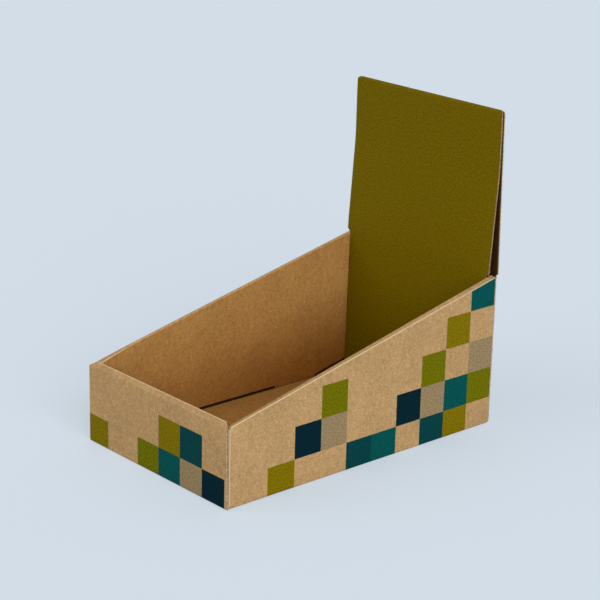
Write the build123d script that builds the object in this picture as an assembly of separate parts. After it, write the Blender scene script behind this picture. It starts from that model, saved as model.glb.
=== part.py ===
from build123d import *
import os

os.makedirs("parts", exist_ok=True)

# Overall sizes of the folded stand in millimetres. X is across, Y runs to the back, Z is up.
stand_width = 162.0
stand_depth = 266.0
stand_height = 248.0

# The board, the play between two layers that lie together, and the folds
board = 1.6
slack = 0.2
fold_inside = 0.4
crease_outside = 1.0
crease_inside = 0.2
join_overlap = 0.4
half_share = 0.5

# Front wall: height of its outer crease, rise of the strip on top, and how its ends step back
front_height = 61.5
front_strip_rise = 3.4
front_end_gap = 0.2
front_inner_gap = 0.6
strip_end_outer = 1.0
strip_end_inner = 6.5

# Side walls: outer crease at both ends, hollow between the layers, and how far the inner crease is off level
side_front_height = 61.0
side_back_height = 120.0
side_hollow = 1.6
strip_drop_front = 1.2
strip_rise_back = 1.5
inner_side_gap = 2.0

# Tongue of the inner side layer in its slot in the base, and the sloping cut behind it
tongue_front = 181.0
tongue_back = 222.0
tongue_clear = 0.3
tongue_floor_gap = 0.3
corner_cut_rise = 10.0

# Flaps of the side walls, which lie inside the front wall and inside the back wall
flap_length = 60.0
flap_lift = 0.6
flap_top_clear = 0.5
fold_top_drop = 0.6
front_step = 4.6

# Back wall, header and the front layer of the header, which bows forward and runs down into the tray
back_recess = 1.8
shoulder_gap = 0.8
header_taper = 2.5
header_corner = 3.0
header_fold_radius = 1.5
layers_part_height = 205.0
bow_upper_height = 175.0
bow_upper = 1.8
bow_middle_height = 150.0
bow_middle = 3.6
bow_lower_height = 128.0
bow_lower = 5.2
bow_tray_height = 112.0
bow_tray = 5.6
bow_foot = 8.0
foot_gap = 0.4
inner_panel_gap = 0.6
panel_shoulder_drop = 1.0
panel_shoulder_rise = 1.8
cut_margin = 5.0

# Sizes that follow from the ones above
half_width = stand_width * half_share
half_depth = stand_depth * half_share
fold_outside = fold_inside + board
front_strip = board + slack + board + slack + board
side_strip = board + side_hollow + board
side_rise_share = (side_back_height - side_front_height) / stand_depth
straight_down = (0, -1)


def rounded_face(plane, corners):
    """Face on a plane from corners given as across, up and radius."""
    outline = [(across, up) for across, up, radius in corners]
    face = make_face(Polyline(*outline, close=True).edges())
    for across, up, radius in corners:
        if radius > 0:
            corner = face.vertices().sort_by_distance(Vector(across, up, 0))[0]
            face = fillet(corner, radius=radius)
    return plane * face


def box_between(low, high):
    """Box from its lowest corner to its highest corner."""
    size = [top - bottom for bottom, top in zip(low, high)]
    middle = [(top + bottom) * half_share for bottom, top in zip(low, high)]
    return Pos(*middle) * Box(*size)


def both_sides(body):
    """The body on the right together with its mirror image on the left."""
    return [body, mirror(body, about=Plane.YZ)]


def side_top(depth):
    """Height of the side wall's outer crease at a depth."""
    return side_front_height + side_rise_share * (depth + half_depth)


def crease_under(crease_start, rise, strip, inset):
    """Height of the strip's underside at an inset from its outer crease."""
    slant_share = Vector(strip, rise).length / strip
    return crease_start + rise * inset / strip - board * slant_share


def side_section(depth, rise):
    """Section of the right side wall: base fold, outer layer, top strip and inner layer."""
    start = half_width - fold_outside - join_overlap
    inner_face = half_width - side_strip
    top = side_top(depth)
    low = board + inner_side_gap
    corners = [
        (start, 0, 0),
        (half_width, 0, fold_outside),
        (half_width, top, crease_outside),
        (inner_face, top + rise, crease_outside),
        (inner_face, low, 0),
        (inner_face + board, low, 0),
        (inner_face + board, crease_under(top, rise, side_strip, side_strip - board), crease_inside),
        (half_width - board, crease_under(top, rise, side_strip, board), crease_inside),
        (half_width - board, board, fold_inside),
        (start, board, 0),
    ]
    return rounded_face(Plane.XZ.offset(-depth), corners)


# Base, with a slot near each side wall for the tongues
base = box_between(
    (fold_outside - half_width, fold_outside - half_depth, 0),
    (half_width - fold_outside, half_depth - fold_outside, board),
)
inner_face = half_width - side_strip
slot = box_between(
    (inner_face - tongue_clear, tongue_front - half_depth - tongue_clear, -cut_margin),
    (inner_face + board + tongue_clear, tongue_back - half_depth + tongue_clear, cut_margin),
)
base = base - both_sides(slot)

# Right side wall, sloping from the front to the back
wall_front = board + slack + fold_outside - half_depth
wall_back = half_depth - board - slack - fold_outside
side_wall = loft(
    [side_section(wall_front, -strip_drop_front), side_section(wall_back, strip_rise_back)],
    ruled=True,
)

# The lower back corner of the inner layer is cut away on a slope
low_edge = board + inner_side_gap
cut_start = tongue_back - half_depth
corner_cut = rounded_face(
    Plane.YZ.offset(inner_face - cut_margin * half_share),
    [
        (cut_start, low_edge, 0),
        (wall_back + cut_margin, low_edge, 0),
        (wall_back + cut_margin, low_edge + corner_cut_rise, 0),
    ],
)
cut_reach = cut_margin * half_share + board + slack
side_wall = side_wall - extrude(corner_cut, amount=cut_reach)

# Tongue that stands in the slot of the base
tongue = box_between(
    (inner_face, tongue_front - half_depth, tongue_floor_gap),
    (inner_face + board, tongue_back - half_depth, low_edge + join_overlap),
)

# Flap folded in from the front end of the side wall, stepped down below the strip of the front wall
flap_bottom = board + flap_lift
front_fold_top = side_front_height - fold_top_drop
front_flap_top = crease_under(front_height, front_strip_rise, front_strip, board) - flap_top_clear
flap_end = half_width - fold_outside - flap_length
flap_face = board + slack - half_depth
front_flap = extrude(
    rounded_face(
        Plane.XY.offset(flap_bottom),
        [
            (half_width, wall_front + join_overlap, 0),
            (half_width, flap_face, fold_outside),
            (flap_end, flap_face, 0),
            (flap_end, flap_face + board, 0),
            (half_width - board, flap_face + board, fold_inside),
            (half_width - board, wall_front + join_overlap, 0),
        ],
    ),
    amount=front_fold_top - flap_bottom,
)
front_step_cut = box_between(
    (flap_end - cut_margin, flap_face - cut_margin, front_flap_top),
    (half_width - front_step, flap_face + cut_margin, front_fold_top + cut_margin),
)
front_flap = front_flap - front_step_cut

# Flap folded in from the back end of the side wall
back_face = half_depth - board - slack
back_fold_top = side_top(back_face) - fold_top_drop
back_flap = extrude(
    rounded_face(
        Plane.XY.offset(flap_bottom),
        [
            (half_width, wall_back - join_overlap, 0),
            (half_width, back_face, fold_outside),
            (flap_end, back_face, 0),
            (flap_end, back_face - board, 0),
            (half_width - board, back_face - board, fold_inside),
            (half_width - board, wall_back - join_overlap, 0),
        ],
    ),
    amount=back_fold_top - flap_bottom,
)

# Front wall: base fold, outer layer, sloping strip and inner layer
inner_front = front_strip - half_depth
front_low = board + front_inner_gap
front_start = fold_outside + join_overlap - half_depth
outer_under = crease_under(front_height, front_strip_rise, front_strip, board)
inner_under = crease_under(front_height, front_strip_rise, front_strip, front_strip - board)
front_wall = extrude(
    rounded_face(
        Plane.YZ,
        [
            (front_start, 0, 0),
            (-half_depth, 0, fold_outside),
            (-half_depth, front_height, crease_outside),
            (inner_front, front_height + front_strip_rise, crease_outside),
            (inner_front, front_low, 0),
            (inner_front - board, front_low, 0),
            (inner_front - board, inner_under, crease_inside),
            (board - half_depth, outer_under, crease_inside),
            (board - half_depth, board, fold_inside),
            (front_start, board, 0),
        ],
    ),
    amount=half_width - front_end_gap,
    both=True,
)

# The inner layer of the front is shorter than the outer one, and the ends of the strip run back to it
gap_middle = board + slack * half_share - half_depth
inner_end_cut = box_between(
    (half_width - strip_end_inner, gap_middle, flap_bottom),
    (half_width + cut_margin, inner_front + cut_margin, front_height + cut_margin),
)
strip_end_cut = extrude(
    rounded_face(
        Plane.XY.offset(front_flap_top),
        [
            (half_width - strip_end_outer, -half_depth, 0),
            (half_width - strip_end_outer, -half_depth - cut_margin, 0),
            (half_width + cut_margin, -half_depth - cut_margin, 0),
            (half_width + cut_margin, inner_front + cut_margin, 0),
            (half_width - strip_end_inner, inner_front + cut_margin, 0),
            (half_width - strip_end_inner, inner_front, 0),
        ],
    ),
    amount=front_strip_rise + cut_margin,
)
inner_end_cut = inner_end_cut - box_between(
    (0, -half_depth, front_flap_top),
    (stand_width, half_depth, stand_height),
)
front_wall = front_wall - both_sides(strip_end_cut) - both_sides(inner_end_cut)

# Back wall with the back layer of the header, the fold on top and the part where both layers lie together
front_layer_back = half_depth - board - slack
front_layer_face = front_layer_back - board
back_start = half_depth - fold_outside - join_overlap
back_wall = extrude(
    rounded_face(
        Plane.YZ,
        [
            (back_start, 0, 0),
            (half_depth, 0, fold_outside),
            (half_depth, stand_height, header_fold_radius),
            (front_layer_face, stand_height, header_fold_radius),
            (front_layer_face, layers_part_height, 0),
            (front_layer_back, layers_part_height, 0),
            (front_layer_back, stand_height - board, 0),
            (half_depth - board, stand_height - board, 0),
            (half_depth - board, board, fold_inside),
            (back_start, board, 0),
        ],
    ),
    amount=half_width,
    both=True,
)

# Front layer below, bowing forward and running down in front of the back flaps
bow_points = [
    (0, layers_part_height),
    (bow_upper, bow_upper_height),
    (bow_middle, bow_middle_height),
    (bow_lower, bow_lower_height),
    (bow_tray, bow_tray_height),
]
foot_height = board + foot_gap
ends = [straight_down, straight_down]
face_curve = Spline([(front_layer_face - lean, height) for lean, height in bow_points], tangents=ends)
back_curve = Spline([(front_layer_back - lean, height) for lean, height in bow_points], tangents=ends)
face_edges = [
    face_curve,
    Line((front_layer_face - bow_tray, bow_tray_height), (front_layer_face - bow_foot, foot_height)),
    Line((front_layer_face - bow_foot, foot_height), (front_layer_back - bow_foot, foot_height)),
    Line((front_layer_back - bow_foot, foot_height), (front_layer_back - bow_tray, bow_tray_height)),
    back_curve,
    Line((front_layer_back, layers_part_height), (front_layer_face, layers_part_height)),
]
front_layer = extrude(Plane.YZ * make_face(Wire(face_edges)), amount=half_width, both=True)

# Outlines of both layers seen from the front: narrow between the walls, a shoulder, and a header that tapers
top_edge = half_width - header_taper
back_edge = half_width - back_recess
panel_edge = half_width - side_strip - inner_panel_gap
header_shoulder = side_back_height + shoulder_gap
panel_low = header_shoulder - panel_shoulder_drop
panel_high = header_shoulder + panel_shoulder_rise


def header_outline(edge, shoulder_low, shoulder_high):
    """Cutting body with the outline of one header layer, given for both sides."""
    corners = [
        (edge, -cut_margin, 0),
        (edge, shoulder_low, 0),
        (half_width, shoulder_high, 0),
        (top_edge, stand_height, header_corner),
    ]
    left = [(-across, up, radius) for across, up, radius in reversed(corners)]
    return extrude(rounded_face(Plane.XZ, corners + left), amount=stand_depth, both=True)


back_wall = back_wall & header_outline(back_edge, header_shoulder, header_shoulder)
front_layer = front_layer & header_outline(panel_edge, panel_low, panel_high)

stand = base + both_sides(side_wall) + both_sides(tongue) + both_sides(front_flap) + both_sides(back_flap)
stand = stand + front_wall + back_wall + front_layer
stand = stand.clean()
stand.label = "display_stand"
export_step(stand, "parts/display_stand.step")
print("display_stand", len(stand.solids()), "solid", stand.bounding_box(), round(stand.volume), "cubic mm")
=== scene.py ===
# %% [markdown]
# # A counter display stand folded from one sheet of corrugated board
#
# The real stand is die-cut from fine brown corrugated board, printed with coloured
# squares, and folded up without glue: a floor, a low front wall, two sloping side walls,
# a back wall and a tall header. We could bend a thin plane and give it a thickness
# with a modifier, but the cut edges would then be plain. Here every stretch of the sheet is
# laid as two grids of points, one for each face of the board, and the cut edges
# get their liners and flutes in real geometry.

import math
import random

import bmesh
import bpy
import numpy as np
from mathutils import Matrix, Vector


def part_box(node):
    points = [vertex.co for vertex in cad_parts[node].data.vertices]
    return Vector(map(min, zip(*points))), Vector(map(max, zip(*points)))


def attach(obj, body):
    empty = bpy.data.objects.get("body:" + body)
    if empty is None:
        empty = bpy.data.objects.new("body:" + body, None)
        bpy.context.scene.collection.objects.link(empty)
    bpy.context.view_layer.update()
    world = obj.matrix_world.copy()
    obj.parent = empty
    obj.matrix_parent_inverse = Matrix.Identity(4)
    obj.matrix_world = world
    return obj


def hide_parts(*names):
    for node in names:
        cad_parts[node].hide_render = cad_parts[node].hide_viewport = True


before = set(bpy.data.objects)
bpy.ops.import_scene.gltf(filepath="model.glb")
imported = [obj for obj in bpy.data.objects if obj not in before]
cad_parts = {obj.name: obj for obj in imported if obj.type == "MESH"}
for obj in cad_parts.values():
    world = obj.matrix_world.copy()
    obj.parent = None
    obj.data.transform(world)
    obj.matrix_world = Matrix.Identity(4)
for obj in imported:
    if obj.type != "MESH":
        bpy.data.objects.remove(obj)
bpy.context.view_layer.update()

# %% [markdown]
# ## Sizes
#
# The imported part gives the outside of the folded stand, so its width, depth and
# height are read from its box. The board's own measures and the places of the creases
# are written in millimetres, as on a box maker's drawing. A bend is given by
# its radius on the outside and on the inside.

# %% Sizes of the board and its folds
mm = 0.001
half = 0.5
half_width, half_depth, stand_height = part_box("display_stand")[1]

board = 1.6 * mm
slack = 0.2 * mm
fold_radius = 2.0 * mm
floor_bend = (fold_radius, 0.4 * mm)
rim_bend = (1.0 * mm, 0.2 * mm)
top_bend = (1.5 * mm, 0.1 * mm)
print("the stand is", [round(size / mm) for size in (2 * half_width, 2 * half_depth, stand_height)], "mm")

# %% Sizes of the front wall and the side walls
front_height = 61.5 * mm
front_strip_rise = 3.4 * mm
front_strip = 5.2 * mm
front_end = half_width - 0.2 * mm
front_low = 2.2 * mm
strip_end_outer = half_width - 1.0 * mm
strip_end_inner = half_width - 6.5 * mm

side_front_height = 61.0 * mm
side_back_height = 120.0 * mm
side_strip = 4.8 * mm
side_low = 3.6 * mm
wall_end = half_depth - 3.8 * mm

tongue_front = 48.0 * mm
tongue_back = 89.0 * mm
tongue_low = 0.3 * mm
tongue_clear = 0.3 * mm
tongue_touch = 0.05 * mm
corner_cut_slope = 10.0 / 45.2

# %% Sizes of the flaps and the header
flap_face = half_depth - board - slack
flap_end = half_width - fold_radius - 60.0 * mm
flap_low = 2.2 * mm
flap_step = half_width - 4.6 * mm
flap_top_front = 60.4 * mm
flap_top_low = 59.9 * mm
flap_drop = 0.6 * mm
fold_recess = 0.8 * mm

back_edge = half_width - 1.8 * mm
panel_edge = half_width - 5.4 * mm
panel_side = half_width - 2.2 * mm
shoulder = 120.8 * mm
panel_low = 119.8 * mm
panel_high = 122.6 * mm
header_taper = 2.5 * mm
header_corner = 3.0 * mm
layers_part = 205.0 * mm
foot_height = 2.0 * mm

# %% [markdown]
# ## The section of a folded strip
#
# These helpers walk along the corners of a section and return pairs of points, one on
# the printed face and one on the plain face, with the distance along the flat
# sheet. They also say how worn each point is: the paper's top layer breaks along
# a crease, and the fibres below are paler.

# %% Round a corner
arc_steps = 6


def unit(vector):
    """The vector at length one."""
    return vector / np.linalg.norm(vector)


def rounding(corner, way_in, way_out, radius):
    """Points of the arc that rounds a corner, from the run before it to the run after."""
    turn = math.acos(np.clip(way_in @ way_out, -1, 1))
    reach = radius * math.tan(turn * half)
    middle = corner + unit(way_out - way_in) * radius / math.cos(turn * half)
    start = corner - way_in * reach - middle
    side = unit(corner + way_out * reach - middle - start * math.cos(turn))
    steps = [turn * step / arc_steps for step in range(arc_steps + 1)]
    return [middle + start * math.cos(angle) + side * radius * math.sin(angle) for angle in steps]


# %% Walk along the folds
crease_margin = 2.2 * mm
squeeze_gap = 0.3 * mm
wear_reach = 0.5
touching = 0.01 * mm


def fold_at(across, up, bend=(0.0, 0.0), wear=0.0, worn_place=half):
    """A corner of a section: its place, its bend, and how worn it is where along its arc."""
    return (across, up), bend, wear, worn_place


def distances(outer, inner):
    """How far along the middle of the board each pair of points lies."""
    gaps = np.linalg.norm(np.diff((outer + inner) * half, axis=0), axis=1)
    return np.concatenate([[0], np.cumsum(gaps)])


def fold_strip(corners, splits, inside):
    """Stations along a folded strip: points outside and inside, the way along the sheet, wear.

    splits has, for each run, the distances from its first corner at which the grid needs
    a line, or None for a run with no line of its own. inside is 1 where the plain face
    lies to the left of the way, -1 where right.
    """
    places = [np.array(corner[0]) for corner in corners]
    ways = [unit(after - before) for before, after in zip(places, places[1:])]
    normals = [np.array([-way[1], way[0]]) * inside for way in ways]
    turns = [math.acos(np.clip(way @ after, -1, 1)) for way, after in zip(ways, ways[1:])]
    margins = [0.0] + [max(crease_margin, board * math.tan(turn * half) + slack) for turn in turns] + [0.0]
    outer, inner, wear = [], [], []

    def lay(point, run):
        outer.append(point)
        inner.append(point + normals[run] * board)
        wear.append(0.0)

    lay(places[0], 0)
    for run, way in enumerate(ways):
        start, end = places[run], places[run + 1]
        length = np.linalg.norm(end - start)
        stops = [] if splits[run] is None else [margins[run], *splits[run], length - margins[run + 1]]
        for place, stop in enumerate(stops):
            limit = length - margins[run + 1] - squeeze_gap * (len(stops) - 1 - place)
            lay(start + way * min(stop, limit), run)
        if run == len(ways) - 1:
            lay(end, run)
            continue
        after = ways[run + 1]
        miter = (normals[run] + normals[run + 1]) / (1 + normals[run] @ normals[run + 1])
        (radius_outside, radius_inside), most, worn_place = corners[run + 1][1:]
        outer += rounding(end, way, after, radius_outside)
        inner += rounding(end + miter * board, way, after, radius_inside)
        offs = [abs(step / arc_steps - worn_place) / wear_reach for step in range(arc_steps + 1)]
        wear += [most * max(0, 1 - off**2) for off in offs]
    outer, inner = np.array(outer), np.array(inner)
    along = distances(outer, inner)
    apart = np.concatenate([[True], np.diff(along) > touching])
    return outer[apart], inner[apart], along[apart], np.array(wear)[apart]


# %% [markdown]
# ## Board with real cut edges
#
# Corrugated board is two liners with a wavy medium glued between them. A cut across
# the flutes shows the wave, and a cut along them shows one flank of it. We
# could paint that on the edge, but from close by a painted edge looks like tape.
# So each free edge gets a groove between two thin liners, and a wavy ribbon of paper is
# laid in it wherever the cut crosses the flutes. Where a knife has crushed an
# edge, the two faces lie closer, and so do liners and wave.

# %% Collect points and faces
liner = 0.26 * mm
medium = 0.2 * mm
flute_pitch = 3.3 * mm
printed_side, plain_side = 0, 1
plain_side_shift = 0.9


class Board:
    """Points, faces and finishes of one piece, before they become a mesh."""

    def __init__(self):
        self.points, self.flat, self.wear, self.faces, self.finishes = [], [], [], [], []

    def point(self, place, flat, wear=0.0):
        """Adds a point and returns its number."""
        self.points.append(tuple(place))
        self.flat.append(tuple(flat))
        self.wear.append(wear)
        return len(self.points) - 1

    def face(self, numbers, finish):
        """Adds a face, leaving out points that come twice in a row."""
        kept = [n for place, n in enumerate(numbers) if n != numbers[place - 1]]
        if len(kept) > 2:
            self.faces.append(kept)
            self.finishes.append(finish)


# %% Lay a wavy ribbon of medium along an edge
flute_steps = 8
wave_least, wave_spread = 0.86, 0.1
pitch_wander = 0.05
slope_thickening = 0.5
medium_inset = medium_root = 0.1 * mm


def lay_medium(sheet, faces_a, faces_b, grooves, flats, draw):
    """A ribbon of fluting between two liners, along an edge that crosses the flutes."""
    reach = distances(faces_a, faces_b)
    if reach[-1] < flute_pitch:
        return
    stops = np.linspace(0, reach[-1], max(2, int(reach[-1] / flute_pitch * flute_steps)))
    near, far, groove, flat = (
        np.column_stack([np.interp(stops, reach, column) for column in values.T])
        for values in (faces_a, faces_b, grooves, flats)
    )
    height = (board * half - liner - medium * half) * (wave_least + wave_spread * draw.random())
    phase = draw.random() * math.tau
    rings = []
    for place in range(len(stops)):
        phase += math.tau * (stops[1] - stops[0]) / flute_pitch * (1 + pitch_wander * (draw.random() - half))
        across = far[place] - near[place]
        across /= max(board, np.linalg.norm(across))
        deep = np.linalg.norm(groove[place])
        inward = groove[place] / deep if deep > 0 else groove[place]
        core = (near[place] + far[place]) * half + across * height * math.sin(phase)
        spread = across * medium * half * (1 + slope_thickening * abs(math.cos(phase)))
        lip, root = core + inward * medium_inset, core + inward * (deep + medium_root)
        ring = (lip - spread, lip + spread, root + spread, root - spread)
        rings.append([sheet.point(corner, flat[place]) for corner in ring])
    for before, after in zip(rings, rings[1:]):
        for side in range(len(before)):
            sheet.face([before[side], before[side - 1], after[side - 1], after[side]], "fluting")
    sheet.face(rings[0][::-1], "fluting")
    sheet.face(rings[-1], "fluting")


# %% [markdown]
# A stretch of board is laid in three steps: both faces, the grooves along its free
# edges, and what closes those edges. An edge is free where a cell of the grid has no
# neighbour, so a hole is made by leaving cells out. An edge that runs on into the next
# stretch of the same sheet is joined: it stays closed and plain.

# %% Lay both faces
def all_over(answer):
    """The same answer for every cell."""
    return lambda row, column: answer


def lay_faces(sheet, grids, finish, plain, kept):
    """Both faces of a stretch. Returns a finder of its points, and its free edges with their cells."""
    flat, wear = grids[2:]
    numbers = {}

    def corner(side, spot):
        if (side, spot) not in numbers:
            shifted = flat[spot] + (plain_side_shift * side, 0)
            numbers[side, spot] = sheet.point(grids[side][spot], shifted, wear[spot] * (1 - side))
        return numbers[side, spot]

    edges = {}
    for row, column in np.ndindex(wear.shape[0] - 1, wear.shape[1] - 1):
        if not kept(row, column):
            continue
        around = [(row, column), (row + 1, column), (row + 1, column + 1), (row, column + 1)]
        sheet.face([corner(printed_side, spot) for spot in around], finish(row, column))
        sheet.face([corner(plain_side, spot) for spot in reversed(around)], plain(row, column))
        for start, end in zip(around, around[1:] + around[:1]):
            edges[start, end] = (row, column)
    return corner, {pair: cell for pair, cell in edges.items() if (pair[1], pair[0]) not in edges}


# %% Cut the grooves
cross_depth = 1.3 * mm
along_depth = 0.45 * mm
straight_share = 0.98


def groove_depth(start, end, flutes, joined):
    """How deep a free edge is grooved, deepest where it crosses the flutes."""
    if joined(start, end):
        return 0.0
    return cross_depth if (start[0] == end[0]) == (flutes == 0) else along_depth


def groove_way(way_a, depth_a, way_b, depth_b):
    """How far a groove's inner corner lies from the edge, where two edges meet."""
    share = float(way_a @ way_b)
    if share > straight_share:
        if min(depth_a, depth_b) == 0:
            return np.zeros(3)
        return unit(way_a + way_b) * (depth_a + depth_b) * half
    square = 1 - share * share
    return way_a * (depth_a - share * depth_b) / square + way_b * (depth_b - share * depth_a) / square


def cut_grooves(sheet, grids, free, depths, comes, goes):
    """The points of the lips and the groove at each spot of a free edge."""
    outer, inner, flat = grids[:3]
    middle = (outer + inner) * half

    def inward(pair, spot):
        axis = int(pair[0][0] != pair[1][0])
        beside = list(spot)
        beside[axis] += 1 if free[pair][axis] == spot[axis] else -1
        return unit(middle[tuple(beside)] - middle[spot])

    rings, grooves = {}, {}
    for spot in goes:
        before, after = comes[spot], goes[spot]
        if max(depths[before], depths[after]) == 0:
            continue
        groove = groove_way(inward(before, spot), depths[before], inward(after, spot), depths[after])
        across = inner[spot] - outer[spot]
        lip = across * liner / max(board, np.linalg.norm(across))
        lips = (outer[spot] + lip, inner[spot] - lip)
        ends = deep = [sheet.point(place, flat[spot]) for place in lips]
        if np.linalg.norm(groove) > 0:
            deep = [sheet.point(place + groove, flat[spot]) for place in lips]
        rings[spot], grooves[spot] = [ends[0], *deep, ends[1]], groove
    return rings, grooves


# %% Lay a stretch of board
ribbon_seed = 7


def spanning(lines, path_outer, path_inner, along, wear):
    """Grids of a stretch that spans the stand, over lines of x and two paths of (y, z)."""
    outer, inner, flat = (
        np.array([[(x, *path[n]) for n, x in enumerate(line)] for line in lines], float)
        for path in (path_outer, path_inner, np.reshape(along, (-1, 1)))
    )
    return outer, inner, flat, np.tile(wear, (len(lines), 1))


def begins_joined(start, end):
    """The edges of a stretch that runs on only from its first column."""
    return start[1] == end[1] == 0


# Unless told otherwise, the plain side gets the painted shade finish, as it lies hidden in folds and gaps.
def lay_board(
    sheet, grids, flutes=0, joined=begins_joined,
    finish=all_over("kraft_face"), plain=all_over("kraft_in_fold"), kept=all_over(True),
):
    """Adds a stretch of board to a piece, from grids of points, places on the flat sheet and wear.

    flutes is the number of the grid direction that they run in. joined says which
    edges run on into the next stretch, and the last three tell a cell's finish on the
    printed and on the plain side and whether it is there at all.
    """
    outer, inner, flat, wear = grids
    corner, free = lay_faces(sheet, grids, finish, plain, kept)
    depths = {pair: groove_depth(*pair, flutes, joined) for pair in free}
    comes, goes = {pair[1]: pair for pair in free}, {pair[0]: pair for pair in free}
    rings, grooves = cut_grooves(sheet, grids, free, depths, comes, goes)
    for pair in free:
        lines = [[corner(printed_side, spot), *rings.get(spot, []), corner(plain_side, spot)] for spot in pair]
        if depths[pair] == 0:
            sheet.face(lines[1] + lines[0][::-1], "cut_edge")
            continue
        for (a, b), (c, d) in zip(zip(lines[0], lines[0][1:]), zip(lines[1], lines[1][1:])):
            sheet.face([a, b, d, c], "cut_edge")
    draw = random.Random(ribbon_seed)
    crossing = {pair for pair in free if depths[pair] == cross_depth}
    for pair in [pair for pair in free if pair in crossing and comes[pair[0]] not in crossing]:
        chain = [pair[0]]
        while pair in crossing:
            chain.append(pair[1])
            pair = goes[pair[1]]
        parts = [np.array([source[spot] for spot in chain]) for source in (outer, inner, grooves, flat)]
        lay_medium(sheet, *parts, draw)


# %% [markdown]
# ## From a board to a piece
#
# Each point brings its place on the flat sheet, which becomes the UV map, so that
# grain and flutes run unbroken over every fold. We could let Blender unwrap the mesh,
# but it can't know which way the flutes run. Faces get smooth shading, and a
# fold sharper than the limit stays a hard edge.

# %% Turn a board into a Blender object
sharp_angle = math.radians(35)
materials = {}


def make_piece(name, sheet):
    """The Blender object of a collected board, riding on the stand's only body."""
    mesh = bpy.data.meshes.new(name)
    mesh.from_pydata(sheet.points, [], sheet.faces)
    used = sorted(set(sheet.finishes))
    for finish in used:
        mesh.materials.append(materials[finish])
    mesh.polygons.foreach_set("material_index", [used.index(finish) for finish in sheet.finishes])
    layer = mesh.uv_layers.new(name="flat_sheet")
    corners = np.zeros(len(mesh.loops), np.int32)
    mesh.loops.foreach_get("vertex_index", corners)
    layer.uv.foreach_set("vector", np.array(sheet.flat, np.float32)[corners].ravel())
    worn = mesh.attributes.new("fold_wear", "FLOAT", "POINT")
    worn.data.foreach_set("value", np.array(sheet.wear, np.float32))
    piece = bpy.data.objects.new(name, mesh)
    bpy.context.collection.objects.link(piece)
    work = bmesh.new()
    work.from_mesh(mesh)
    bmesh.ops.recalc_face_normals(work, faces=work.faces)
    work.to_mesh(mesh)
    work.free()
    mesh.shade_smooth()
    mesh.set_sharp_from_angle(angle=sharp_angle)
    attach(piece, "root")
    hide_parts("display_stand")
    spans = [tuple(round(span / mm, 2) for span in (min(axis), max(axis))) for axis in zip(*sheet.points)]
    print(name, len(mesh.polygons), "faces, from and to in mm:", *spans)


# %% [markdown]
# ## Helpers for node trees
#
# A material is a tree of nodes. Each of these small functions places one node and
# returns its result. A socket takes a link or a plain value, so `fill` looks at
# what it is given.

# %% Place and link nodes
def fill(tree, node, values):
    """Sets or links a node's inputs, given in their order or by their names."""
    for label, value in values.items() if isinstance(values, dict) else enumerate(values):
        if isinstance(value, bpy.types.NodeSocket):
            tree.links.new(value, node.inputs[label])
        else:
            node.inputs[label].default_value = value


def add(tree, kind, values=(), **settings):
    """A new node with its settings and inputs."""
    node = tree.nodes.new(kind)
    for key, value in settings.items():
        setattr(node, key, value)
    fill(tree, node, values)
    return node


def maths(tree, operation, *values, clamp=False):
    """A Math node's result."""
    return add(tree, "ShaderNodeMath", values, operation=operation, use_clamp=clamp).outputs[0]


def plus(tree, first, second):
    """The sum of two values."""
    return maths(tree, "ADD", first, second)


def times(tree, first, second):
    """The product of two values."""
    return maths(tree, "MULTIPLY", first, second)


# %% Nodes for places, noise and colours
mix_first, mix_second, mix_result = 6, 7, 2


def stretch(tree, place, scale):
    """A place vector multiplied axis by axis."""
    return add(tree, "ShaderNodeVectorMath", (place, scale), operation="MULTIPLY").outputs[0]


def cloud(tree, place, drawn_out=None, size=1.0, detail=3.0, roughness=0.55, distortion=0.0):
    """A noise texture's value, drawn out along the sheet where told."""
    if drawn_out is not None:
        place = stretch(tree, place, drawn_out)
    node = add(tree, "ShaderNodeTexNoise", {"Vector": place, "Scale": size, "Detail": detail})
    fill(tree, node, {"Roughness": roughness, "Distortion": distortion})
    return node.outputs[0]


def between(tree, value, limits, results=(0.0, 1.0)):
    """The value spread smoothly from one range to another."""
    values = (value, *limits, *results)
    return add(tree, "ShaderNodeMapRange", values, interpolation_type="SMOOTHSTEP").outputs["Result"]


def scaled(tree, colour, share):
    """A colour made lighter or darker."""
    return add(tree, "ShaderNodeVectorMath", {0: colour, "Scale": share}, operation="SCALE").outputs[0]


def blend(tree, share, first, second):
    """Two colours mixed."""
    values = {0: share, mix_first: first, mix_second: second}
    return add(tree, "ShaderNodeMix", values, data_type="RGBA").outputs[mix_result]


# %% Node groups
socket_kinds = dict.fromkeys(("Colour", "Paper", "Speck", "Worn", "Ink"), "NodeSocketColor")
socket_kinds["Place"] = "NodeSocketVector"


def new_group(name, inputs, outputs):
    """An empty node group with named sockets."""
    tree = bpy.data.node_groups.new(name, "ShaderNodeTree")
    for side, labels in (("INPUT", inputs), ("OUTPUT", outputs)):
        for label in labels.split():
            kind = socket_kinds.get(label, "NodeSocketFloat")
            tree.interface.new_socket(name=label, in_out=side, socket_type=kind)
    return tree, tree.nodes.new("NodeGroupInput").outputs, tree.nodes.new("NodeGroupOutput")


def use_group(tree, group, **values):
    """Places a node group, fills its inputs and returns its outputs."""
    return add(tree, "ShaderNodeGroup", values, node_tree=group).outputs


# %% [markdown]
# ## Kraft paper
#
# Kraft liner is unbleached: long brown fibres, a cloudy tone where the pulp lay thicker,
# and odd dark specks of bark. One noise can't show all of that, so the group adds
# several sizes of cloud, drawn out along the paper machine's direction, single
# pale and dark fibres, and rare specks. Its Height gives the bump its tooth. Places are in
# millimetres of the flat sheet, and a cloud's share says how much it moves the tone.

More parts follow.
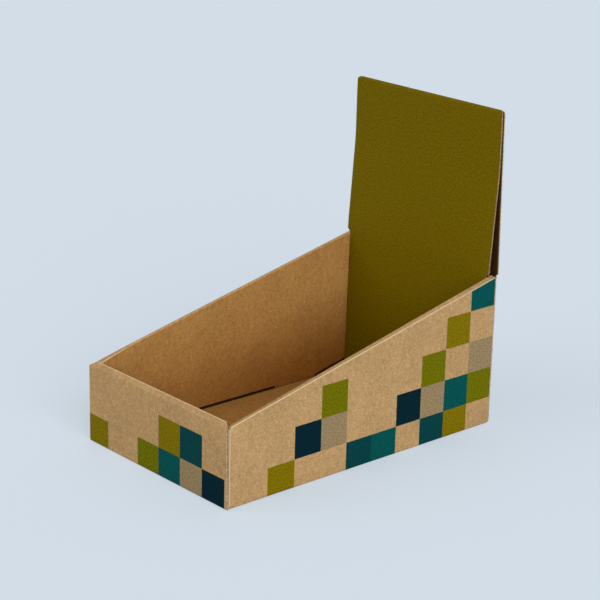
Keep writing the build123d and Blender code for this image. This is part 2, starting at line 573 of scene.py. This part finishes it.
# %% Kraft paper node group
outputs = "Colour Roughness Height Fibre"
kraft_paper, given, gives = new_group("kraft_paper", "Place Paper Speck Mottle", outputs)
tree, place = kraft_paper, given["Place"]
fibres = cloud(tree, place, (2.4, 0.75, 1.0), size=1.3, detail=5.0, roughness=0.72, distortion=0.9)
grain = cloud(tree, place, (1.1, 0.8, 1.0), size=0.6, detail=4.0, roughness=0.65)
clouds = cloud(tree, place, size=0.22, roughness=0.6)
broad = cloud(tree, place, size=0.028, detail=2.0)
fibre_share, grain_share, cloud_share, broad_share = 1.1, 1.6, 0.8, 0.5
shares = ((fibres, fibre_share), (grain, grain_share), (clouds, cloud_share), (broad, broad_share))

# %% Single fibres that lie in the paper
thread_share = 0.22
threads = cloud(tree, place, (4.6, 0.55, 1.0), detail=2.0, roughness=0.5, distortion=1.1)
pale_threads = between(tree, threads, limits=(0.54, 0.66))
dark_threads = between(tree, threads, limits=(0.34, 0.46), results=(1.0, 0.0))
fibre = maths(tree, "SUBTRACT", pale_threads, dark_threads)

# %% Tone, specks and tooth of the paper
speck_share = 0.5
fibre_tooth, cloud_tooth = 0.7, 0.3
middling = (0.3, 0.7)

even_out = -half * sum(share for part, share in shares)
tone = plus(tree, times(tree, fibre, thread_share), even_out)
for part, share in shares:
    tone = plus(tree, tone, times(tree, part, share))
tone = plus(tree, times(tree, tone, given["Mottle"]), 1.0)
specks = between(tree, cloud(tree, place, size=0.75, detail=1.0), limits=(0.74, 0.82))
spotted = blend(tree, times(tree, specks, speck_share), scaled(tree, given["Paper"], tone), given["Speck"])
roughness = between(tree, fibres, middling, results=(0.78, 0.92))
height = plus(tree, times(tree, fibres, fibre_tooth), times(tree, clouds, cloud_tooth))
fill(tree, gives, {"Colour": spotted, "Roughness": roughness, "Height": height, "Fibre": fibre})
print("kraft paper:", len(tree.nodes), "nodes")

# %% [markdown]
# ## Flutes under the liner
#
# The medium's tips press through the liner, so fine board has a faint washboard with
# lines a flute apart, all in one direction over the whole blank. A wave along the
# flat sheet gives that, with a little noise so that no two lines match.

# %% Washboard node group
wander_share = 0.3

washboard, given, gives = new_group("washboard", "Place Pitch", "Height")
tree, place = washboard, given["Place"]
down = add(tree, "ShaderNodeSeparateXYZ", (place,)).outputs["Y"]
wander = cloud(tree, place, (0.02, 0.3, 1.0), detail=1.0)
turns = plus(tree, maths(tree, "DIVIDE", down, given["Pitch"]), times(tree, wander, wander_share))
wave = maths(tree, "SINE", times(tree, turns, math.tau))
uneven = cloud(tree, place, (0.015, 0.05, 1.0), detail=2.0)
strength = between(tree, uneven, middling, results=(0.35, 1.0))
fill(tree, gives, {"Height": times(tree, wave, strength)})
print("washboard:", len(tree.nodes), "nodes")

# %% [markdown]
# ## Worn creases
#
# Along a crease the top fibres break, and a thin pale line shows. The mesh carries the
# wear as a number on its points, and the group sharpens it with a noise, so that
# the line is broken here and there.

# %% Crease wear node group
ragged_share = 0.5

crease_wear, given, gives = new_group("crease_wear", "Place Colour Worn Wear", "Colour")
tree, place = crease_wear, given["Place"]
ragged = maths(tree, "SUBTRACT", cloud(tree, place, size=0.9), half)
broken = plus(tree, given["Wear"], times(tree, ragged, ragged_share))
mask = between(tree, broken, limits=(0.55, 0.95))
fill(tree, gives, {"Colour": blend(tree, mask, given["Colour"], given["Worn"])})
print("crease wear:", len(tree.nodes), "nodes")

# %% [markdown]
# ## Flexo ink
#
# The squares are printed straight on the brown liner, so the paper's fibres show
# through and small pits stay bare. An ink is a colour that covers most of the
# paper, and it dries unevenly.

# %% Ink node group
fibre_in_ink = 0.2

ink_film, given, gives = new_group("ink_film", "Place Paper Ink Cover Fibre", "Colour Roughness")
tree, place = ink_film, given["Place"]
pits = cloud(tree, place, (1.5, 0.9, 1.0), roughness=0.65)
drying = cloud(tree, place, size=0.8, detail=4.0, roughness=0.75)
tint = between(tree, drying, middling, results=(0.6, 1.4))
tint = plus(tree, tint, times(tree, given["Fibre"], fibre_in_ink))
bare = between(tree, pits, limits=(0.6, 0.85), results=(0.0, 0.05))
cover = maths(tree, "SUBTRACT", given["Cover"], bare, clamp=True)
printed = blend(tree, cover, given["Paper"], scaled(tree, given["Ink"], tint))
fill(tree, gives, {"Colour": printed, "Roughness": between(tree, pits, middling, results=(0.62, 0.8))})
print("ink film:", len(tree.nodes), "nodes")

# %% [markdown]
# ## The materials
#
# Every finish is the same paper with or without an ink, so one function makes them all.
# The Principled shader stays in the material, where a renderer and an exporter can
# both read it. Faces inside the folds are darker than real paper, painted shade so that
# gaps read as shadow under any light; the floor gets the same painted shade under the walls
# and in a thin line beside them. The rolled-in layers are the outer kraft painted darker and
# redder as shade, and deeper still low in the tray and towards its back: painted shade and
# bounce light between the brown walls.

# %% Colours of paper and ink
kraft = (0.480, 0.300, 0.136, 1.0)
# Painted shade: the rolled-in layers are the outer kraft made darker and redder, as seen in the shade of the
# tray.
kraft_rolled_in_painted_shade = (0.43, 0.228, 0.070, 1.0)
# Painted shade and bounce light: the colour the rolled-in layers reach low in the tray and towards its back.
painted_tray_shade_kraft = (0.29, 0.110, 0.016, 1.0)
kraft_inside = (0.45, 0.232, 0.064, 1.0)
# Painted shade: a near-black kraft for faces hidden in folds and gaps, and for the floor under and beside the
# walls.
painted_shade_kraft = (0.055, 0.026, 0.008, 1.0)
worn_kraft = (0.66, 0.53, 0.335, 1.0)
bark = (0.16, 0.085, 0.035, 1.0)
edge_paper = (0.68, 0.52, 0.36, 1.0)
fluting_paper = (0.40, 0.25, 0.12, 1.0)
inks = {
    "olive": (0.203, 0.150, 0.0, 1.0),
    "leaf": (0.146, 0.146, 0.0, 1.0),
    "teal": (0.0, 0.080, 0.076, 1.0),
    "deep_teal": (0.001, 0.049, 0.054, 1.0),
    "navy": (0.0, 0.0165, 0.026, 1.0),
    "stone": (0.300, 0.217, 0.113, 1.0),
    "header_olive": (0.172, 0.121, 0.0, 1.0),
}

# %% Make one paper finish
paper_shine = 0.05
ink_cover = 1.0
tooth_lift = 0.10
bump_strength = 0.6


def with_painted_tray_shade(tree, paper, deep):
    """A paper colour with painted shade: darker and redder low in the tray and towards its back, for shade and
    bounce light there.
    """
    place = add(tree, "ShaderNodeTexCoord").outputs["Object"]
    parts = add(tree, "ShaderNodeSeparateXYZ", (place,)).outputs
    low = between(tree, parts["Z"], limits=(0.0, 85.0 * mm), results=(1.0, 0.0))
    far_in = between(tree, parts["Y"], limits=(-110.0 * mm, 120.0 * mm), results=(0.45, 1.0))
    return blend(tree, times(tree, low, far_in), paper, deep)


def make_paper(name, paper, ink=None, deep=None, mottle=0.74, washboard_lift=0.02):
    """A paper finish, plain or printed."""
    material = bpy.data.materials.new(name)
    material.use_nodes = True
    tree = material.node_tree
    flat = add(tree, "ShaderNodeUVMap", uv_map="flat_sheet").outputs[0]
    place = stretch(tree, flat, (1 / mm, 1 / mm, 1 / mm))
    # deep, where given, is mixed in as painted shade low in the tray and towards its back.
    paper = paper if deep is None else with_painted_tray_shade(tree, paper, deep)
    liner_paper = use_group(tree, kraft_paper, Place=place, Paper=paper, Speck=bark, Mottle=mottle)
    ridges = use_group(tree, washboard, Place=place, Pitch=flute_pitch / mm)
    colour, roughness, fibre = (liner_paper[label] for label in ("Colour", "Roughness", "Fibre"))
    if ink is not None:
        film = use_group(tree, ink_film, Place=place, Paper=colour, Ink=ink, Cover=ink_cover, Fibre=fibre)
        colour, roughness = film["Colour"], film["Roughness"]
    wear = add(tree, "ShaderNodeAttribute", attribute_name="fold_wear").outputs["Fac"]
    worn_paper = use_group(tree, crease_wear, Place=place, Colour=colour, Worn=worn_kraft, Wear=wear)
    tooth = times(tree, liner_paper["Height"], tooth_lift)
    height = plus(tree, tooth, times(tree, ridges["Height"], washboard_lift))
    bump = add(tree, "ShaderNodeBump", {"Strength": bump_strength, "Distance": mm, "Height": height})
    values = {"Base Color": worn_paper["Colour"], "Roughness": roughness, "Normal": bump.outputs[0]}
    fill(tree, tree.nodes["Principled BSDF"], values | {"Specular IOR Level": paper_shine})
    materials[name] = material


# %% Make the materials
make_paper("kraft_face", kraft)
# The rolled-in layers get a darker, redder copy of the kraft as painted shade, deeper still low in the tray.
make_paper("kraft_inner_layer", kraft_rolled_in_painted_shade, deep=painted_tray_shade_kraft)
make_paper("kraft_back", kraft_inside, washboard_lift=0.035)
make_paper("kraft_in_fold", painted_shade_kraft)
make_paper("cut_edge", edge_paper, mottle=0.8, washboard_lift=0.0)
make_paper("fluting", fluting_paper, mottle=0.8, washboard_lift=0.0)
for ink_name, ink_colour in inks.items():
    make_paper(ink_name, kraft, ink=ink_colour)
print("materials:", sorted(materials))

# %% [markdown]
# ## The squares
#
# The print is a plain grid of squares, some inked and some bare, counted from a corner
# of the panel. A texture would blur from close by, so the grid of a printed panel
# has lines at the squares' edges, and each square has faces of its own.

# %% Layout of the squares
square = 25.0 * mm
side_column_start = half_depth - 3.6 * mm
side_row_shift = 2.7 * mm
front_column_start = half_width - 2.25 * mm
front_row_shift = 2.24 * mm
corner_square = 23.5 * mm
side_squares = {
    (1, 2): "olive", (1, 3): "deep_teal", (1, 5): "teal", (1, 6): "deep_teal", (1, 9): "olive",
    (2, 1): "leaf", (2, 2): "teal", (2, 3): "stone", (2, 4): "navy", (2, 7): "stone", (2, 8): "navy",
    (3, 1): "stone", (3, 3): "leaf", (3, 7): "leaf",
    (4, 2): "olive",
    (5, 1): "teal",
}
front_squares = {
    (1, 1): "navy", (1, 2): "stone", (1, 3): "teal", (1, 4): "leaf",
    (2, 2): "deep_teal", (2, 3): "olive",
}
side_rows = [square * row - side_row_shift for row in (1, 2, 3, 4)]
front_rows = [square * row - front_row_shift for row in (1, 2)]
side_columns = [side_column_start - square * column for column in range(1, 11)]
front_columns = [front_column_start - square * column for column in range(5)]


def finish_at(squares, up, along):
    """The finish of a spot, by its distances from the corner that squares are counted from."""
    return squares.get((math.floor(up / square) + 1, math.floor(along / square) + 1), "kraft_face")


print(len(side_squares), "squares on a side wall,", len(front_squares) + 1, "on the front wall")

# %% [markdown]
# ## Floor
#
# The floor is the middle of the blank. Its four sides run on into folds, so it has
# free edges only at its corners and at the two slots that hold the tongues of the side
# walls. Under the walls, and in a thin line beside them, it is painted dark as shade:
# a painted contact shadow where the layers stand on it.

# %% Grid of the floor
floor_edge = half_width - fold_radius
floor_end = half_depth - fold_radius
slot_inner = half_width - side_strip - tongue_touch
slot_outer = half_width - side_strip + board + tongue_clear
slot_front = tongue_front - tongue_clear
slot_back = tongue_back + tongue_clear
# From shade_edge out to the wall the floor is painted dark: a painted contact shadow beside the walls.
shade_edge = slot_inner - 0.6 * mm
floor_inside = half_depth - front_strip
across_lines = (floor_edge, slot_outer, slot_inner, shade_edge, slot_inner * half)
floor_x = sorted([side * place for side in (-1, 1) for place in across_lines] + [0])
floor_y = [-floor_end, -wall_end, -floor_inside, -wall_end * half, 0]
floor_y += [slot_front, slot_back, wall_end, floor_end]
floor_lines = [[x] * len(floor_y) for x in floor_x]
floor_under, floor_top = ([(y, z) for y in floor_y] for z in (0, board))
floor_grids = spanning(floor_lines, floor_under, floor_top, floor_y, np.zeros(len(floor_y)))
last_x, last_y = len(floor_x) - 1, len(floor_y) - 1
print("the floor's grid has", last_x, "by", last_y, "cells")

# %% Build the floor
def floor_across(row):
    """How far to the side a row of the floor's cells lies."""
    return abs(floor_x[row] + floor_x[row + 1]) * half


def floor_kept(row, column):
    """The floor is there everywhere but in its two slots."""
    return not (slot_inner <= floor_across(row) <= slot_outer and floor_y[column] == slot_front)


def floor_finish(row, column):
    """The finish of the floor's upper side, painted dark as shade under the walls and in a thin line beside
    them.
    """
    in_painted_shade = floor_across(row) > shade_edge or floor_y[column] + floor_y[column + 1] < -2 * floor_inside
    return "kraft_in_fold" if in_painted_shade else "kraft_back"


def floor_joined(start, end):
    """The floor runs on into a fold on all four sides."""
    on_side = start[0] == end[0] and start[0] in (0, last_x) and 0 < start[1] + end[1] - 1 < 2 * last_y - 2
    return on_side or start[1] == end[1] and start[1] in (0, last_y)


floor = Board()
lay_board(floor, floor_grids, joined=floor_joined, plain=floor_finish, kept=floor_kept)
make_piece("tray_floor", floor)

# %% [markdown]
# ## Front wall
#
# The front wall rises from the floor, turns over a narrow strip and comes down again
# inside, so its rim is soft to the hand. The strip's ends run back to the
# shorter inner layer.

# %% Section of the front wall
edge_line = 0.8 * mm
soft_wear, full_wear, light_wear = 0.35, 1.0, 0.95
early = 0.22
strip_end = front_strip - half_depth
front_corners = [
    fold_at(-floor_end, 0),
    fold_at(-half_depth, 0, floor_bend),
    fold_at(-half_depth, front_height, rim_bend, soft_wear),
    fold_at(strip_end, front_height + front_strip_rise, rim_bend, full_wear, early),
    fold_at(strip_end, front_low),
]
front_splits = [None, front_rows, [], [half * front_height]]
front_outer, front_inner, front_along, front_wear = fold_strip(front_corners, front_splits, -1)
print("the front wall's section is", round(front_along[-1] / mm, 1), "mm long")


# %% Outline of the front wall
def squeezed(places, edge):
    """Grid lines from the left to the right edge, pushed in where the sheet is narrower."""
    lines = np.array([-edge, *sorted(places), edge])
    gaps = squeeze_gap * np.arange(len(lines))
    return np.maximum(np.minimum(lines, edge - gaps[::-1]), gaps - edge)


def front_reach(y, z):
    """Half the front wall's width at a place of its section."""
    across = y + half_depth
    if across > front_strip - touching:
        return strip_end_inner
    if z < front_height * half or across < touching:
        return front_end
    return strip_end_outer + (strip_end_inner - strip_end_outer) * across / front_strip


front_lines = front_columns + [corner_square - half_width, edge_line - front_end, front_end - edge_line]
front_x = np.array([squeezed(front_lines, front_reach(y, z)) for y, z in front_outer]).T


def front_finish(row, station):
    """The finish of a cell of the front wall."""
    (y, z), (next_y, next_z) = front_outer[station : station + 2]
    x = (front_x[row][station] + front_x[row + 1][station]) * half
    up = (z + next_z) * half + front_row_shift
    if min(y, next_y) > strip_end - touching:
        return "kraft_inner_layer"
    if y > -half_depth + rim_bend[0] or z > front_rows[-1]:
        return "kraft_face"
    if up < square and x < corner_square - half_width:
        return "olive"
    return finish_at(front_squares, up, front_column_start - x)


# %% Build the front wall
front = Board()
front_grids = spanning(front_x, front_outer, front_inner, -floor_end - front_along, front_wear)
lay_board(front, front_grids, finish=front_finish)
make_piece("front_wall", front)

# %% [markdown]
# ## Side walls
#
# A side wall is cut on a slope, low at the front and high at the back. It turns over
# like the front wall, and the inner layer ends in a tongue that stands in the floor's
# slot. The section is drawn anew for each line of the grid. Board springs back where it is
# folded, and not the same on both sides: the left rim's inner crease stands higher
# than its outer one nearly all the way, and the right rim's only at the back.

# %% Heights of a side wall
rise_share = (side_back_height - side_front_height) / (2 * half_depth)
rim_front, rim_middle, rim_back = -95.0 * mm, 0.0, 104.0 * mm
strip_rises = {
    1: ([-wall_end, wall_end], [-1.2 * mm, 1.5 * mm]),
    -1: ([-wall_end, rim_front, rim_back, wall_end], [-1.0 * mm, 2.3 * mm, 2.4 * mm, 1.6 * mm]),
}
rim_wears = {
    1: ([rim_middle], [light_wear]),
    -1: ([-wall_end, rim_front, rim_middle], [light_wear, 0.7, 0.4]),
}


def wall_top(y):
    """Height of a side wall's outer crease."""
    return side_front_height + rise_share * (y + half_depth)


def cut_height(y):
    """Height of the inner layer's lower edge beside the tongue."""
    return side_low + max(0, y - tongue_back) * corner_cut_slope


def side_section(y, side):
    """Section of a side wall at a depth, drawn on the right for either side."""
    inner_face = half_width - side_strip
    inner_run = wall_top(y) + np.interp(y, *strip_rises[side])
    corners = [
        fold_at(floor_edge, 0),
        fold_at(half_width, 0, floor_bend),
        fold_at(half_width, wall_top(y), rim_bend, full_wear),
        fold_at(inner_face, inner_run, rim_bend, np.interp(y, *rim_wears[side])),
        fold_at(inner_face, tongue_low),
    ]
    return fold_strip(corners, [None, side_rows, [], [inner_run * half, inner_run - cut_height(y)]], 1)


lengths = [round(side_section(y, 1)[2][-1] / mm, 1) for y in (-wall_end, wall_end)]
print("a side wall's section is", *lengths, "mm long at the front and the back")

# %% [markdown]
# A flap at each end of a side wall folds in behind the front or the back wall. It
# belongs to its wall's piece, as the print runs on round the fold. The front flap is
# folded deeper, so that the front wall covers it.

# %% Build a flap
def flap_top(x, end):
    """Height of a flap's upper edge."""
    if end > 0:
        return wall_top(flap_face) - flap_drop
    return flap_top_front if x > flap_step else flap_top_low


def build_flap(sheet, side, end):
    """The flap at the front (end -1) or back (end 1) of a side wall."""
    recess = fold_recess if end < 0 else 0
    corners = [
        fold_at(half_width, end * wall_end),
        fold_at(half_width, end * (flap_face - recess), (fold_radius - recess, floor_bend[1]), full_wear),
        fold_at(flap_end, end * flap_face),
    ]
    if recess > 0:
        corners.insert(2, fold_at(strip_end_inner, end * flap_face, (fold_radius, fold_radius)))
    path_outer, path_inner, along, wear = fold_strip(corners, [None] * (len(corners) - 2) + [[]], end)
    levels = [flap_low, *(row for row in side_rows if end > 0 or row < flap_top_low)]
    heights = [levels + [flap_top(x, end)] for x, y in path_outer]
    outer, inner = (
        np.array([[(side * x, y, z) for z in line] for (x, y), line in zip(path, heights)])
        for path in (path_outer, path_inner)
    )
    flat = [[(side * (floor_edge + z), end * (wall_end + s)) for z in line] for s, line in zip(along, heights)]
    grids = outer, inner, np.array(flat), np.tile(wear[:, None], (1, len(levels) + 1))

    def finish(row, level):
        printed = end > 0 and row <= arc_steps
        return side_squares.get((level + 1, 1), "kraft_face") if printed else "kraft_face"

    lay_board(sheet, grids, flutes=1, joined=lambda start, stop: start[0] == stop[0] == 0, finish=finish)


# %% Build the side walls
wall_y = [side * place for side in (-1, 1) for place in (wall_end, wall_end - edge_line)]
wall_y = sorted(wall_y + [tongue_front, tongue_back] + side_columns)
crease_near = 0.05 * mm


def build_side_wall(name, side):
    """One side wall with its two flaps. side is 1 on the right and -1 on the left."""
    sections = [side_section(y, side) for y in wall_y]
    outer, inner = (
        np.array([[(side * x, y, z) for x, z in section[face]] for section, y in zip(sections, wall_y)])
        for face in (0, 1)
    )
    flat = [[(side * (floor_edge + s), y) for s in section[2]] for section, y in zip(sections, wall_y)]
    grids = outer, inner, np.array(flat), np.array([section[3] for section in sections])
    last_row, last_column = outer.shape[0] - 1, outer.shape[1] - 1
    bent, high = abs(outer[0, :, 0]) < half_width - crease_near, outer[0, :, 2] > side_front_height * half
    crease = np.flatnonzero(bent & high)[0]

    def kept(row, column):
        return column < last_column - 1 or tongue_front <= wall_y[row] < tongue_back

    def joined(start, end):
        at_flap = start[0] == end[0] and start[0] in (0, last_row) and max(start[1], end[1]) < crease
        return at_flap or begins_joined(start, end)

    def finish(row, station):
        cell = outer[row : row + 2, station : station + 2]
        if abs(cell[0, :, 0]).max() < half_width - side_strip + touching:
            return "kraft_inner_layer"
        if station >= crease:
            return "kraft_face"
        y, z = (cell[0, 0, 1] + cell[1, 0, 1]) * half, (cell[0, 0, 2] + cell[0, 1, 2]) * half
        return finish_at(side_squares, z + side_row_shift, side_column_start - y)

    sheet = Board()
    lay_board(sheet, grids, flutes=1, joined=joined, finish=finish, kept=kept)
    for end in (-1, 1):
        build_flap(sheet, side, end)
    make_piece(name, sheet)


build_side_wall("right_side_wall", 1)
build_side_wall("left_side_wall", -1)

# %% [markdown]
# ## Back wall and header
#
# The back wall runs on upwards as the header's back layer, turns over at the top and
# comes down in front as a second layer, inked all over. That one has straight sides,
# bows forward below, and its foot stands on the floor in front of the back
# flaps, which holds the header upright. The long cut edges of both are pinched,
# as a knife leaves them.

# %% Outlines of the header's layers
def header_edge(z):
    """Half the header's width at a height, with the rounded top corner."""
    share = (z - shoulder) / (stand_height - shoulder)
    edge = half_width - header_taper * share
    near = header_corner - (stand_height - z)
    return edge - (header_corner - math.sqrt(header_corner**2 - near**2) if near > 0 else 0)


def back_reach(z):
    """Half the width of the back wall and the header's back layer."""
    return back_edge if z <= shoulder else header_edge(z)


def panel_reach(z):
    """Half the width of the header's front layer, narrower between the side walls."""
    share = np.clip((z - panel_low) / (panel_high - panel_low), 0, 1)
    side_edge = min(header_edge(max(z, panel_high)), panel_side)
    return panel_edge + (side_edge - panel_edge) * share


# %% Grids across the stand
pinch = 0.4


def pinched_panel(path_outer, path_inner, along, wear, reach):
    """Grids of a panel whose side edges are pinched, with a grid line close to each edge."""
    edges = np.array([reach(z) for y, z in path_outer])
    lines = [-edges, edge_line - edges, -edges * half, 0 * edges, edges * half, edges - edge_line, edges]
    grids = spanning(lines, path_outer, path_inner, along, wear)
    outer, inner = grids[:2]
    for edge in (0, -1):
        inner[edge] += (outer[edge] - inner[edge]) * pinch
    return grids


# %% Build the back wall and the fold on top
shoulder_step = 0.02 * mm
front_layer_face = flap_face - board
corner_low = stand_height - header_corner
back_corners = [
    fold_at(floor_end, 0),
    fold_at(half_depth, 0, floor_bend),
    fold_at(half_depth, stand_height, top_bend, soft_wear),
    fold_at(front_layer_face, stand_height, top_bend, soft_wear),
    fold_at(front_layer_face, corner_low),
]
back_splits = [None, [shoulder * half, shoulder, shoulder + shoulder_step, layers_part, corner_low], None, None]
back_outer, back_inner, back_along, back_wear = fold_strip(back_corners, back_splits, 1)
back_grids = pinched_panel(back_outer, back_inner, floor_end + back_along, back_wear, back_reach)
back_last = len(back_outer) - 1
top_start = [z > stand_height - top_bend[0] for y, z in back_outer].index(True)


def back_joined(start, end):
    """The back wall runs on into the floor and into the header's front layer."""
    return start[1] == end[1] and start[1] in (0, back_last)


def back_finish(row, station):
    """The back wall is plain up to the fold on top."""
    return "header_olive" if station >= top_start else "kraft_face"


back_wall = Board()
lay_board(back_wall, back_grids, joined=back_joined, finish=back_finish)
make_piece("back_wall", back_wall)

# %% [markdown]
# The front layer touches the back layer at the top and stands off below. A straight
# slope would leave a kink, so its lean is given at a few heights and a smooth curve is
# drawn through them, flat where the layers meet.

# %% The front layer's bow
bow_heights = np.array([foot_height, 112.0 * mm, 128.0 * mm, 150.0 * mm, 175.0 * mm, layers_part])
bow_leans = np.array([8.0, 5.6, 5.2, 3.6, 1.8, 0.0]) * mm
bow_slopes = np.gradient(bow_leans, bow_heights)
bow_slopes[0], bow_slopes[-1] = (bow_leans[1] - bow_leans[0]) / (bow_heights[1] - bow_heights[0]), 0


def bow(z):
    """How far the front layer stands forward at a height, as one smooth curve."""
    if z >= bow_heights[-1]:
        return 0.0
    n = int(np.clip(np.searchsorted(bow_heights, z, side="right") - 1, 0, len(bow_heights) - 2))
    width = bow_heights[n + 1] - bow_heights[n]
    t = (z - bow_heights[n]) / width
    return (
        (1 + 2 * t) * (1 - t) ** 2 * bow_leans[n]
        + t * (1 - t) ** 2 * width * bow_slopes[n]
        + t**2 * (3 - 2 * t) * bow_leans[n + 1]
        + t**2 * (t - 1) * width * bow_slopes[n + 1]
    )


print("the front layer leans", round(bow(shoulder) / mm, 1), "mm forward at the shoulder")

# %% Build the header's front layer
lines_below, lines_above = 10, 16
top_joint = back_outer[-1][1]
panel_levels = np.array(sorted(
    {top_joint, corner_low}
    | set(np.linspace(foot_height, panel_low, lines_below))
    | set(np.linspace(panel_high, corner_low, lines_above)),
    reverse=True,
))
panel_outer = np.array([(front_layer_face - bow(z), z) for z in panel_levels])
panel_along = floor_end + back_along[-1] + top_joint - panel_levels
panel_grids = pinched_panel(panel_outer, panel_outer + (board, 0), panel_along, 0 * panel_levels, panel_reach)
panel = Board()
lay_board(panel, panel_grids, finish=all_over("header_olive"))
make_piece("header_front_layer", panel)

# %% [markdown]
# ## Ground, light and camera
#
# A plain pale ground carries the stand and its soft shadow. The light is that of a
# studio: an even surround, a broad lamp from the right, a weaker one from the
# front left and a faint one from behind. For the camera's own rays ground and surround
# are brightened to a pale blue, while the object sees matt card and a dim room.

# %% Ground
ground_size = 14.0
ground_colour, ground_roughness = (0.625, 0.708, 0.802, 1.0), 0.9
glow_colour, glow_share = (0.795, 0.895, 1.0, 1.0), 0.5

ground_mesh = bpy.data.meshes.new("ground")
reach = ground_size * half
corners = [(-reach, -reach, 0), (reach, -reach, 0), (reach, reach, 0), (-reach, reach, 0)]
ground_mesh.from_pydata(corners, [], [range(len(corners))])
ground = bpy.data.objects.new("ground", ground_mesh)
bpy.context.collection.objects.link(ground)
ground_paint = bpy.data.materials.new("ground_paint")
ground_paint.use_nodes = True
tree = ground_paint.node_tree
shader = tree.nodes["Principled BSDF"]
fill(tree, shader, {"Base Color": ground_colour, "Roughness": ground_roughness, "Specular IOR Level": 0.0})
glow = add(tree, "ShaderNodeEmission", {"Color": glow_colour})
seen = times(tree, add(tree, "ShaderNodeLightPath").outputs["Is Camera Ray"], glow_share)
mixed = add(tree, "ShaderNodeMixShader", (seen, shader.outputs[0], glow.outputs[0]))
fill(tree, tree.nodes["Material Output"], {"Surface": mixed.outputs[0]})
ground_mesh.materials.append(ground_paint)
print("the ground is", ground_size, "metres wide")

# %% World
surround_colour, surround_strength = (1.0, 1.0, 1.0, 1.0), 0.31
pale_colour, pale_strength = (0.64, 0.72, 0.79, 1.0), 1.0

world = bpy.data.worlds.new("studio")
bpy.context.scene.world = world
world.use_nodes = True
tree = world.node_tree
surround = tree.nodes["Background"]
fill(tree, surround, (surround_colour, surround_strength))
pale_wall = add(tree, "ShaderNodeBackground", (pale_colour, pale_strength))
seen = add(tree, "ShaderNodeLightPath").outputs["Is Camera Ray"]
mixed = add(tree, "ShaderNodeMixShader", (seen, surround.outputs[0], pale_wall.outputs[0]))
fill(tree, tree.nodes["World Output"], {"Surface": mixed.outputs[0]})
print("the surround's strength is", surround_strength)


# %% Lamps
def facing(azimuth, elevation):
    """The way from the stand to a place given by its angles in degrees, front at zero."""
    a, e = math.radians(azimuth), math.radians(elevation)
    return Vector((math.sin(a) * math.cos(e), -math.cos(a) * math.cos(e), math.sin(e)))


# Each lamp's azimuth, elevation, strength, softness in degrees and colour.
lamps = {
    "right_key": (72, 27, 2.08, 44, (1.0, 0.98, 0.95)),
    "left_fill": (-30, 32, 0.80, 60, (1.0, 0.94, 0.84)),
    "back_fill": (205, 38, 0.25, 60, (1.0, 1.0, 1.0)),
}
for name, (azimuth, elevation, strength, softness, colour) in lamps.items():
    lamp = bpy.data.lights.new(name, "SUN")
    lamp.energy = strength
    lamp.angle = math.radians(softness)
    lamp.color = colour
    holder = bpy.data.objects.new(name, lamp)
    holder.rotation_euler = facing(azimuth, elevation).to_track_quat("Z", "Y").to_euler()
    bpy.context.collection.objects.link(holder)
    print(name, "at", azimuth, "degrees, strength", strength)

# %% Camera
film_width = 36.0
focal_length = 114.678
far_clip = 50.0
camera_azimuth, camera_elevation, camera_roll = 48.271, 18.348, math.radians(1.344)
camera_place = Vector((1.0169, -0.9037, 0.5574))

camera_data = bpy.data.cameras.new("camera")
camera_data.sensor_width = film_width
camera_data.lens = focal_length
camera_data.clip_end = far_clip
camera = bpy.data.objects.new("camera", camera_data)
bpy.context.collection.objects.link(camera)
bpy.context.scene.camera = camera
towards = facing(camera_azimuth, camera_elevation)
aim = towards.to_track_quat("Z", "Y").to_matrix().to_4x4()
camera.matrix_world = Matrix.Translation(camera_place) @ Matrix.Rotation(camera_roll, 4, towards) @ aim
bpy.context.scene.view_settings.view_transform = "Standard"
print("the camera stands", round(camera_place.length, 2), "metres away")
